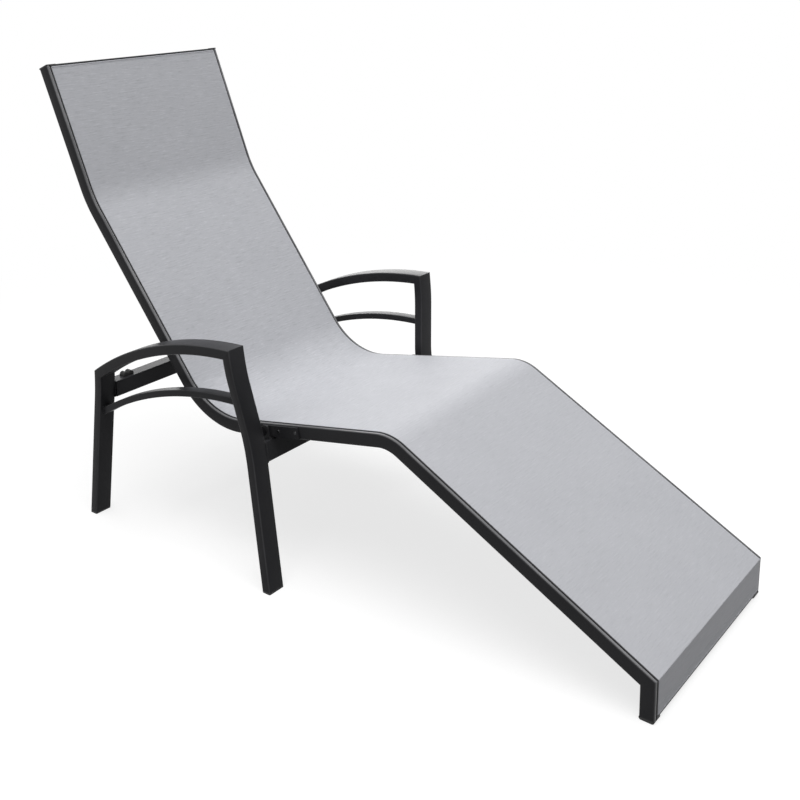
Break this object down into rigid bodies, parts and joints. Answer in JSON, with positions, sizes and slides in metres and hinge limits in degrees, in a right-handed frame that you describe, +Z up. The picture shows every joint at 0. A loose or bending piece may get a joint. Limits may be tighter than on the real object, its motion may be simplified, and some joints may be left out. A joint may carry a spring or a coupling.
{
  "type": "reclining lounger",
  "caption": "Patio lounger with an S-shaped sling body that tilts as a whole on a four-legged base with arched armrests.",
  "frame": {"origin": "on the floor, under the middle of the whole lounger at rest", "axes": "+X towards the foot end, +Y towards the left of someone lying on it, +Z up"},
  "size_m": [1.578, 0.749, 1.0399],
  "materials": {
    "frame_paint": "satin anthracite powder coat",
    "sling_fabric": "silver-grey woven synthetic",
    "keder_plastic": "matte",
    "black_plastic": "matte",
    "buffer_rubber": "semi-matte",
    "fastener_steel": "satin"
  },
  "bodies": {
    "base": {"right_front_leg": "frame_paint", "left_front_leg": "frame_paint", "right_rear_leg": "frame_paint", "left_rear_leg": "frame_paint", "right_armrest": "frame_paint", "left_armrest": "frame_paint", "right_lower_arm_bar": "frame_paint", "left_lower_arm_bar": "frame_paint", "front_crossbar": "frame_paint", "rear_crossbar": "frame_paint", "right_front_foot_cap": "black_plastic", "left_front_foot_cap": "black_plastic", "right_rear_foot_cap": "black_plastic", "left_rear_foot_cap": "black_plastic", "right_pivot_bracket": "frame_paint", "left_pivot_bracket": "frame_paint", "right_pivot_bolt": "fastener_steel", "left_pivot_bolt": "fastener_steel", "right_pivot_nut": "fastener_steel", "left_pivot_nut": "fastener_steel", "pivot_washers": "fastener_steel", "right_back_buffer": "buffer_rubber", "left_back_buffer": "buffer_rubber"},
    "lounger": {"back_spreader": "frame_paint", "calf_spreader": "frame_paint", "foot_bar": "frame_paint", "head_bar": "frame_paint", "hinge_plate_rivets": "fastener_steel", "knee_spreader": "frame_paint", "left_foot_glide": "black_plastic", "left_head_cap": "black_plastic", "left_hinge_plate": "frame_paint", "left_keder_rod": "keder_plastic", "left_pivot_bush": "black_plastic", "left_rail": "frame_paint", "right_foot_glide": "black_plastic", "right_head_cap": "black_plastic", "right_hinge_plate": "frame_paint", "right_keder_rod": "keder_plastic", "right_pivot_bush": "black_plastic", "right_rail": "frame_paint", "seat_spreader": "frame_paint", "sling": "sling_fabric"}
  },
  "joints": [
    {"name": "tilt", "type": "hinge", "parent": "base", "child": "lounger", "pos_m": [-0.13823, 0, 0.31458], "axis": [0, -1, 0], "range_deg": [0, 25]}
  ]
}
